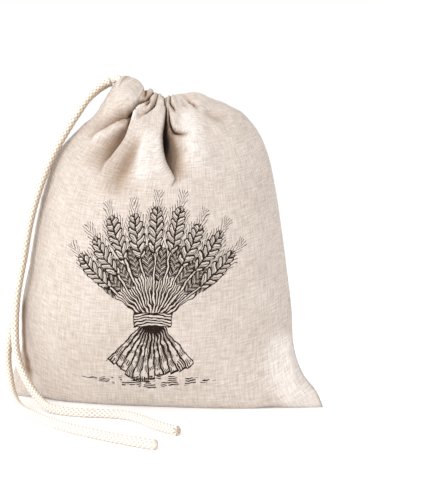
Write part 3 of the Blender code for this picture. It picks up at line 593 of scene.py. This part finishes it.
# The print is worked out from x and y, in millimetres from its middle. Each step is its name,
# a sum, and the numbers or earlier steps that it takes; a line is 1 where there is ink.
EAR_ANGLE, EAR_START, EAR_LENGTH, EAR_WIDTH, EAR_ROW = 0.235, 52.0, 37.0, 11.6, 5.6
HUSK_SLANT, BEARD_SLANT, BEARD = -0.95, -2.6, 4.6
BACK_START, BACK_LENGTH, BACK_WIDTH, BACK_ROW = 33.0, 26.0, 7.4, 4.4
TIE_DOWN, TIE_HALF_HEIGHT, TIE_HALF_WIDTH, TIE_COIL = 22.0, 5.6, 14.6, 2.3
STRAW_ANGLE, STRAW_LENGTH = 0.13, 46.0
GROUND_DOWN, GROUND_ROW, GROUND_HALF = 70.0, 1.7, 56.0
INK_STEPS = (
    ("height", "ADD", "y", TIE_DOWN),
    ("above", "GREATER_THAN", "height", 0.0),
    ("opening", "MULTIPLY_ADD", "above", 0.3, 0.75),
    ("opened_height", "MULTIPLY", "opening", "height"),
    ("height_squared", "MULTIPLY_ADD", "opened_height", "opened_height", 49.0),
    ("reach", "SQRT", "height_squared"),
    ("opened_x", "MULTIPLY", "opening", "x"),
    ("angle", "ARCTAN2", "opened_x", "reach"),
    ("x_squared", "MULTIPLY", "x", "x"),
    ("radius_squared", "MULTIPLY_ADD", "height", "height", "x_squared"),
    ("radius", "SQRT", "radius_squared"),
    # the front ears, nine in a fan
    ("turn", "DIVIDE", "angle", EAR_ANGLE),
    ("ear_number", "ROUND", "turn"),
    ("off_ear", "SUBTRACT", "turn", "ear_number"),
    ("arc", "MULTIPLY", "radius", EAR_ANGLE),
    ("across", "MULTIPLY", "off_ear", "arc"),
    ("from_spine", "ABSOLUTE", "across"),
    ("right", "GREATER_THAN", "across", 0.0),
    ("jitter_at", "MULTIPLY", "ear_number", 2.3),
    ("jitter", "SINE", "jitter_at"),
    ("number_squared", "MULTIPLY", "ear_number", "ear_number"),
    ("even_start", "MULTIPLY_ADD", "number_squared", -0.55, EAR_START),
    ("ear_start", "MULTIPLY_ADD", "jitter", 3.5, "even_start"),
    ("up_ear", "SUBTRACT", "radius", "ear_start"),
    ("share", "DIVIDE", "up_ear", EAR_LENGTH),
    ("share_above", "MAXIMUM", "share", 0.0),
    ("share_within", "MINIMUM", "share_above", 1.0),
    ("share_left", "SUBTRACT", 1.0, "share_within"),
    ("swelling", "MULTIPLY", "share_within", "share_left"),
    ("belly", "POWER", "swelling", 0.42),
    ("half_ear", "MULTIPLY", "belly", EAR_WIDTH),
    ("lag", "MULTIPLY_ADD", "from_spine", HUSK_SLANT, "up_ear"),
    ("row", "DIVIDE", "lag", EAR_ROW),
    ("phase", "MULTIPLY_ADD", "right", 0.5, "row"),
    ("in_row", "FRACT", "phase"),
    ("row_turn", "MULTIPLY", "in_row", math.pi),
    ("lobe", "SINE", "row_turn"),
    ("lobe_share", "MULTIPLY_ADD", "lobe", 0.26, 0.74),
    ("edge", "MULTIPLY", "half_ear", "lobe_share"),
    ("in_ear", "GREATER_THAN", "edge", "from_spine"),
    ("from_husk", "PINGPONG", "phase", 0.5),
    ("husk", "LESS_THAN", "from_husk", 0.15),
    ("spine", "LESS_THAN", "from_spine", 0.55),
    ("hatching", "MULTIPLY", "phase", 4.0),
    ("from_stroke", "PINGPONG", "hatching", 0.5),
    ("stroke", "LESS_THAN", "from_stroke", 0.2),
    ("dark_side", "LESS_THAN", "in_row", 0.56),
    ("hatch", "MULTIPLY", "stroke", "dark_side"),
    ("husk_and_spine", "MAXIMUM", "husk", "spine"),
    ("ear_lines", "MAXIMUM", "husk_and_spine", "hatch"),
    ("ear_inside", "MULTIPLY", "ear_lines", "in_ear"),
    ("to_rim", "SUBTRACT", "edge", "from_spine"),
    ("from_rim", "ABSOLUTE", "to_rim"),
    ("rim", "LESS_THAN", "from_rim", 0.55),
    ("ear_on", "GREATER_THAN", "swelling", 0.004),
    ("rim_on", "MULTIPLY", "rim", "ear_on"),
    ("ear", "MAXIMUM", "ear_inside", "rim_on"),
    # beards of the ears
    ("beard_lag", "MULTIPLY_ADD", "from_spine", BEARD_SLANT, "up_ear"),
    ("beard_row", "DIVIDE", "beard_lag", EAR_ROW),
    ("beard_phase", "MULTIPLY_ADD", "right", 0.5, "beard_row"),
    ("from_beard", "PINGPONG", "beard_phase", 0.5),
    ("beard_line", "LESS_THAN", "from_beard", 0.12),
    ("beard_low", "GREATER_THAN", "up_ear", 3.0),
    ("beard_high", "LESS_THAN", "up_ear", 50.0),
    ("beard_out", "SUBTRACT", "from_spine", "half_ear"),
    ("beard_short", "LESS_THAN", "beard_out", BEARD),
    ("beard_1", "MULTIPLY", "beard_line", "beard_low"),
    ("beard_2", "MULTIPLY", "beard_1", "beard_high"),
    ("beard_3", "MULTIPLY", "beard_2", "beard_short"),
    ("not_ear", "SUBTRACT", 1.0, "in_ear"),
    ("beard", "MULTIPLY", "beard_3", "not_ear"),
    # their stalks
    ("to_stalk", "SUBTRACT", "from_spine", 0.95),
    ("from_stalk", "ABSOLUTE", "to_stalk"),
    ("stalk_line", "LESS_THAN", "from_stalk", 0.45),
    ("below", "LESS_THAN", "up_ear", 0.4),
    ("stalk", "MULTIPLY", "stalk_line", "below"),
    ("front_1", "MAXIMUM", "ear", "beard"),
    ("front_2", "MAXIMUM", "front_1", "stalk"),
    ("stalk_in", "LESS_THAN", "from_spine", 0.95),
    ("stalk_fill", "MULTIPLY", "stalk_in", "below"),
    ("front_area", "MAXIMUM", "in_ear", "stalk_fill"),
    # shorter ears behind, between the stalks
    ("back_turn", "ADD", "turn", 0.5),
    ("back_number", "ROUND", "back_turn"),
    ("off_back", "SUBTRACT", "back_turn", "back_number"),
    ("back_across", "MULTIPLY", "off_back", "arc"),
    ("from_back_spine", "ABSOLUTE", "back_across"),
    ("back_right", "GREATER_THAN", "back_across", 0.0),
    ("back_jitter_at", "MULTIPLY", "back_number", 4.1),
    ("back_jitter", "SINE", "back_jitter_at"),
    ("back_start", "MULTIPLY_ADD", "back_jitter", 2.5, BACK_START),
    ("up_back", "SUBTRACT", "radius", "back_start"),
    ("back_share", "DIVIDE", "up_back", BACK_LENGTH),
    ("back_share_above", "MAXIMUM", "back_share", 0.0),
    ("back_share_within", "MINIMUM", "back_share_above", 1.0),
    ("back_share_left", "SUBTRACT", 1.0, "back_share_within"),
    ("back_swelling", "MULTIPLY", "back_share_within", "back_share_left"),
    ("back_belly", "POWER", "back_swelling", 0.42),
    ("half_back", "MULTIPLY", "back_belly", BACK_WIDTH),
    ("back_lag", "MULTIPLY_ADD", "from_back_spine", HUSK_SLANT, "up_back"),
    ("back_row", "DIVIDE", "back_lag", BACK_ROW),
    ("back_phase", "MULTIPLY_ADD", "back_right", 0.5, "back_row"),
    ("from_back_husk", "PINGPONG", "back_phase", 0.5),
    ("back_husk", "LESS_THAN", "from_back_husk", 0.19),
    ("in_back", "GREATER_THAN", "half_back", "from_back_spine"),
    ("back_hatching", "MULTIPLY", "back_phase", 3.0),
    ("from_back_stroke", "PINGPONG", "back_hatching", 0.5),
    ("back_hatch", "LESS_THAN", "from_back_stroke", 0.26),
    ("back_lines", "MAXIMUM", "back_husk", "back_hatch"),
    ("back_ear", "MULTIPLY", "back_lines", "in_back"),
    ("to_back_rim", "SUBTRACT", "half_back", "from_back_spine"),
    ("from_back_rim", "ABSOLUTE", "to_back_rim"),
    ("back_rim", "LESS_THAN", "from_back_rim", 0.5),
    ("back_rim_on", "GREATER_THAN", "back_swelling", 0.006),
    ("back_rim_ink", "MULTIPLY", "back_rim", "back_rim_on"),
    ("to_back_stalk", "SUBTRACT", "from_back_spine", 0.8),
    ("from_back_stalk", "ABSOLUTE", "to_back_stalk"),
    ("back_stalk_line", "LESS_THAN", "from_back_stalk", 0.4),
    ("back_below", "LESS_THAN", "up_back", 0.4),
    ("back_stalk", "MULTIPLY", "back_stalk_line", "back_below"),
    ("back_1", "MAXIMUM", "back_ear", "back_rim_ink"),
    ("back_2", "MAXIMUM", "back_1", "back_stalk"),
    ("free", "SUBTRACT", 1.0, "front_area"),
    ("back_3", "MULTIPLY", "back_2", "free"),
    ("fan", "MAXIMUM", "front_2", "back_3"),
    ("wide", "ABSOLUTE", "angle"),
    ("in_fan", "LESS_THAN", "wide", 1.05),
    ("fan_1", "MULTIPLY", "fan", "in_fan"),
    ("fan_2", "MULTIPLY", "fan_1", "above"),
    # the cut stalks below the tie
    ("straw_at", "DIVIDE", "angle", STRAW_ANGLE),
    ("straw_turn", "PINGPONG", "straw_at", 0.5),
    ("straw_arc", "MULTIPLY", "straw_turn", STRAW_ANGLE),
    ("from_straw", "MULTIPLY", "straw_arc", "radius"),
    ("straw_line", "LESS_THAN", "from_straw", 0.62),
    ("fine", "DIVIDE", "angle", STRAW_ANGLE / 4),
    ("from_fine", "PINGPONG", "fine", 0.5),
    ("fine_line", "LESS_THAN", "from_fine", 0.26),
    ("fine_on", "MULTIPLY", "fine_line", "broken"),
    ("straw", "MAXIMUM", "straw_line", "fine_on"),
    ("straw_number", "FLOOR", "straw_at"),
    ("straw_jitter_at", "MULTIPLY", "straw_number", 5.3),
    ("straw_jitter", "SINE", "straw_jitter_at"),
    ("straw_end", "MULTIPLY_ADD", "straw_jitter", 2.6, STRAW_LENGTH),
    ("short", "LESS_THAN", "radius", "straw_end"),
    ("in_foot", "LESS_THAN", "wide", 0.79),
    ("straw_1", "MULTIPLY", "straw", "short"),
    ("straw_2", "MULTIPLY", "straw_1", "in_foot"),
    ("under", "SUBTRACT", 1.0, "above"),
    ("straw_3", "MULTIPLY", "straw_2", "under"),
    ("to_cut", "SUBTRACT", "radius", "straw_end"),
    ("from_cut", "ABSOLUTE", "to_cut"),
    ("cut_line", "LESS_THAN", "from_cut", 0.6),
    ("cut_1", "MULTIPLY", "cut_line", "in_foot"),
    ("cut_2", "MULTIPLY", "cut_1", "under"),
    ("foot", "MAXIMUM", "straw_3", "cut_2"),
    # the tie round the sheaf
    ("from_tie", "ABSOLUTE", "height"),
    ("from_centre", "ABSOLUTE", "x"),
    ("tie_height", "LESS_THAN", "from_tie", TIE_HALF_HEIGHT),
    ("tie_width", "LESS_THAN", "from_centre", TIE_HALF_WIDTH),
    ("tie", "MULTIPLY", "tie_height", "tie_width"),
    ("bow", "MULTIPLY_ADD", "x_squared", 0.014, "height"),
    ("coil", "DIVIDE", "bow", TIE_COIL),
    ("from_coil", "PINGPONG", "coil", 0.5),
    ("coil_line", "LESS_THAN", "from_coil", 0.24),
    ("tie_edge", "GREATER_THAN", "from_tie", 4.9),
    ("tie_end", "GREATER_THAN", "from_centre", 13.8),
    ("tie_lines", "MAXIMUM", "coil_line", "tie_edge"),
    ("tie_outline", "MAXIMUM", "tie_lines", "tie_end"),
    ("tie_ink", "MULTIPLY", "tie", "tie_outline"),
    ("off_tie", "SUBTRACT", 1.0, "tie"),
    ("sheaf_1", "MAXIMUM", "fan_2", "foot"),
    ("sheaf_2", "MULTIPLY", "sheaf_1", "off_tie"),
    ("sheaf_3", "MAXIMUM", "sheaf_2", "tie_ink"),
    # short strokes on the ground
    ("ground_at", "DIVIDE", "y", GROUND_ROW),
    ("from_ground", "PINGPONG", "ground_at", 0.5),
    ("ground_line", "LESS_THAN", "from_ground", 0.27),
    ("to_ground", "ADD", "y", GROUND_DOWN),
    ("off_ground", "ABSOLUTE", "to_ground"),
    ("ground_reach", "MULTIPLY_ADD", "off_ground", 9.0, "from_centre"),
    ("in_ground", "LESS_THAN", "ground_reach", GROUND_HALF),
    ("ground_1", "MULTIPLY", "ground_line", "in_ground"),
    ("ground_2", "MULTIPLY", "ground_1", "broken"),
    ("ground_3", "MULTIPLY", "ground_2", "off_tie"),
    ("ink", "MAXIMUM", "sheaf_3", "ground_3"),
)
linen = bpy.data.materials.new("natural_linen_weave")
linen.use_nodes = True
tree = linen.node_tree
shader = tree.nodes["Principled BSDF"]
place = add(tree, "ShaderNodeUVMap", {"uv_map": "cloth_mm"})
cloth_mm = place.outputs["UV"]
ways = []
for wide, tall in ((THREAD, SLUB), (SLUB, THREAD)):
    drawn_out = add(
        tree, "ShaderNodeVectorMath", {"operation": "MULTIPLY"}, i0=cloth_mm, i1=(1 / wide, 1 / tall, 0.0))
    ways.append(add(
        tree, "ShaderNodeTexNoise", flat,
        Vector=drawn_out.outputs["Vector"], Scale=1.0, Detail=1.5, Roughness=0.6))
warp, weft = ways
threads = add(tree, "ShaderNodeMath", {"operation": "ADD"}, i0=warp.outputs["Fac"], i1=weft.outputs["Fac"])
grain = add(tree, "ShaderNodeTexNoise", flat, Vector=cloth_mm, Scale=GRAIN, Detail=3.0, Roughness=0.7)
cloud = add(tree, "ShaderNodeTexNoise", flat, Vector=cloth_mm, Scale=CLOUD, Detail=2.0)
mixed = add(
    tree, "ShaderNodeMath", {"operation": "MULTIPLY_ADD"},
    i0=grain.outputs["Fac"], i1=0.5, i2=threads.outputs[0])
clouded = add(
    tree, "ShaderNodeMath", {"operation": "MULTIPLY_ADD"},
    i0=cloud.outputs["Fac"], i1=0.35, i2=mixed.outputs[0])
tone = add(tree, "ShaderNodeMapRange", None, i0=clouded.outputs[0], i1=0.95, i2=1.9)
colours = add(tree, "ShaderNodeValToRGB", None, Fac=tone.outputs[0])
colours.color_ramp.elements[0].color = linear("#bdb1a7")
colours.color_ramp.elements[1].color = linear("#e9e2dc")
sketch = add(tree, "ShaderNodeTexNoise", flat, Vector=cloth_mm, Scale=HAND, Detail=2.0)
hand = add(tree, "ShaderNodeSeparateColor", None, i0=sketch.outputs["Color"])
spot = add(tree, "ShaderNodeSeparateXYZ", None, i0=cloth_mm)
ragged = add(tree, "ShaderNodeTexNoise", flat, Vector=cloth_mm, Scale=INK_GAPS, Detail=1.0)
unbroken = add(
    tree, "ShaderNodeMath", {"operation": "GREATER_THAN"}, i0=ragged.outputs["Fac"], i1=INK_FROM)
step = {"broken": unbroken.outputs[0]}
for k, name in enumerate(("x", "y")):
    drawn = add(
        tree, "ShaderNodeMath", {"operation": "MULTIPLY_ADD"},
        i0=hand.outputs[k], i1=HAND_REACH, i2=spot.outputs[k])
    placed = add(
        tree, "ShaderNodeMath", {"operation": "SUBTRACT"}, i0=drawn.outputs[0], i1=PRINT_MIDDLE[k])
    step[name] = placed.outputs[0]
for name, operation, *terms in INK_STEPS:
    terms = {"i%d" % k: step.get(term, term) for k, term in enumerate(terms)}
    step[name] = add(tree, "ShaderNodeMath", {"operation": operation}, **terms).outputs[0]
worn = add(tree, "ShaderNodeMapRange", None, i0=mixed.outputs[0], i1=0.85, i2=1.1, i3=0.93, i4=1.0)
inked = add(tree, "ShaderNodeMath", {"operation": "MULTIPLY"}, i0=step["ink"], i1=worn.outputs[0])
printed = add(
    tree, "ShaderNodeMixRGB", None,
    Fac=inked.outputs[0], Color1=colours.outputs["Color"], Color2=linear("#24140a"))
# Painted shade: the stored amount darkens the linen towards brown deep in the folds and in the front tail's
# painted shadow.
shade_attribute = add(tree, "ShaderNodeAttribute", {"attribute_name": "painted_shade"})
shade_ramp = add(tree, "ShaderNodeValToRGB", None, Fac=shade_attribute.outputs["Fac"])
shade_ramp.color_ramp.elements[0].color = linear("#ffffff")
shade_ramp.color_ramp.elements[1].color = linear("#3c2a1f")
for stop, colour in ((0.2, "#e2dad3"), (0.45, "#b8a593"), (0.7, "#7a6250")):
    shade_ramp.color_ramp.elements.new(stop).color = linear(colour)
shaded_colour = add(
    tree, "ShaderNodeMixRGB", {"blend_type": "MULTIPLY"},
    Fac=1.0, Color1=printed.outputs["Color"], Color2=shade_ramp.outputs["Color"])
tree.links.new(shaded_colour.outputs["Color"], shader.inputs["Base Color"])
height = add(tree, "ShaderNodeMath", {"operation": "ADD"}, i0=threads.outputs[0], i1=grain.outputs["Fac"])
bump = add(
    tree, "ShaderNodeBump", None, Strength=0.5, Distance=THREAD_DEPTH * MM, Height=height.outputs[0])
tree.links.new(bump.outputs["Normal"], shader.inputs["Normal"])
for socket, value in (("Roughness", 0.92), ("Sheen Weight", 0.15), ("Specular IOR Level", 0.15)):
    shader.inputs[socket].default_value = value
bag.data.materials.append(linen)
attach(bag, "root")
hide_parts("bag_cloth")

# --- Drawcord inside the hem ------------------------------------------------------------
# The same braided cord, drawn tight, runs round the mouth along the middle of the channel
# and meets both tails where they come out at the open end of the side seam.
CORD_IN_HEM = 6.1  # pulled thinner than the tails
LOOP_FROM_X = -28.0
LOOP_POINTS, LOOP_STEP = 48, 0.8
LOOP_LEADS = (0.5, 2.5, 6.0)  # how far each tail's own line runs on into the hem
middle = stitch + upward * CORD_RISE
middle = middle[middle[:, 0] > LOOP_FROM_X]
run = length_along(middle)
middle = points_at(middle, run, np.linspace(0, run[-1], LOOP_POINTS))
leads = []
for tail in (FRONT_TAIL, BACK_TAIL):
    inward = unit(np.array(tail[0]) - np.array(tail[1]))
    leads.append(np.array([tail[0] + inward * reach for reach in LOOP_LEADS]))
route = smooth_route(np.concatenate((leads[0], middle, leads[1][::-1])), LOOP_STEP)
loop_cord = braided_cord("drawcord_loop_braid", route, CORD_IN_HEM, frayed=False)
loop_cord.data.materials.append(cotton)
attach(loop_cord, "root")
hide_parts("drawcord_loop")

# --- Table and light --------------------------------------------------------------------
# A smooth white table top runs on behind the bag, in an even white room. One broad lamp
# stands in front on the left, and a second, behind on the left, lights the edges.
TABLE_HALF = 4.0  # metres, as the lamps are
table = bmesh.new()
bmesh.ops.create_grid(table, x_segments=1, y_segments=1, size=TABLE_HALF)
mesh = bpy.data.meshes.new("table")
table.to_mesh(mesh)
table.free()
top = bpy.data.objects.new("table", mesh)
scene.collection.objects.link(top)
white = bpy.data.materials.new("white_table")
white.use_nodes = True
paint = white.node_tree.nodes["Principled BSDF"]
for socket, value in (
    ("Base Color", linear("#fafafb")), ("Roughness", 0.45),
    ("Emission Color", linear("#ffffff")), ("Emission Strength", 0.12),
):
    paint.inputs[socket].default_value = value
mesh.materials.append(white)
world = bpy.data.worlds.new("studio")
scene.world = world
world.use_nodes = True
room_light = world.node_tree.nodes["Background"]
room_light.inputs["Color"].default_value = linear("#ffffff")
room_light.inputs["Strength"].default_value = 1.02
AIM = Vector((0.0, 0.0, 0.12))
LAMP_SIZE = 1.2
for name, lamp_at, watts in (
    ("window_left", (-0.9, -1.6, 0.95), 19.0),
    ("glow_behind_left", (-1.7, 0.45, 0.6), 11.0),
):
    lamp = bpy.data.lights.new(name, "AREA")
    lamp.size = LAMP_SIZE
    lamp.energy = watts
    lit = bpy.data.objects.new(name, lamp)
    lit.location = lamp_at
    lit.rotation_euler = (AIM - Vector(lamp_at)).to_track_quat("-Z", "Y").to_euler()
    scene.collection.objects.link(lit)
scene.view_settings.view_transform = "Standard"
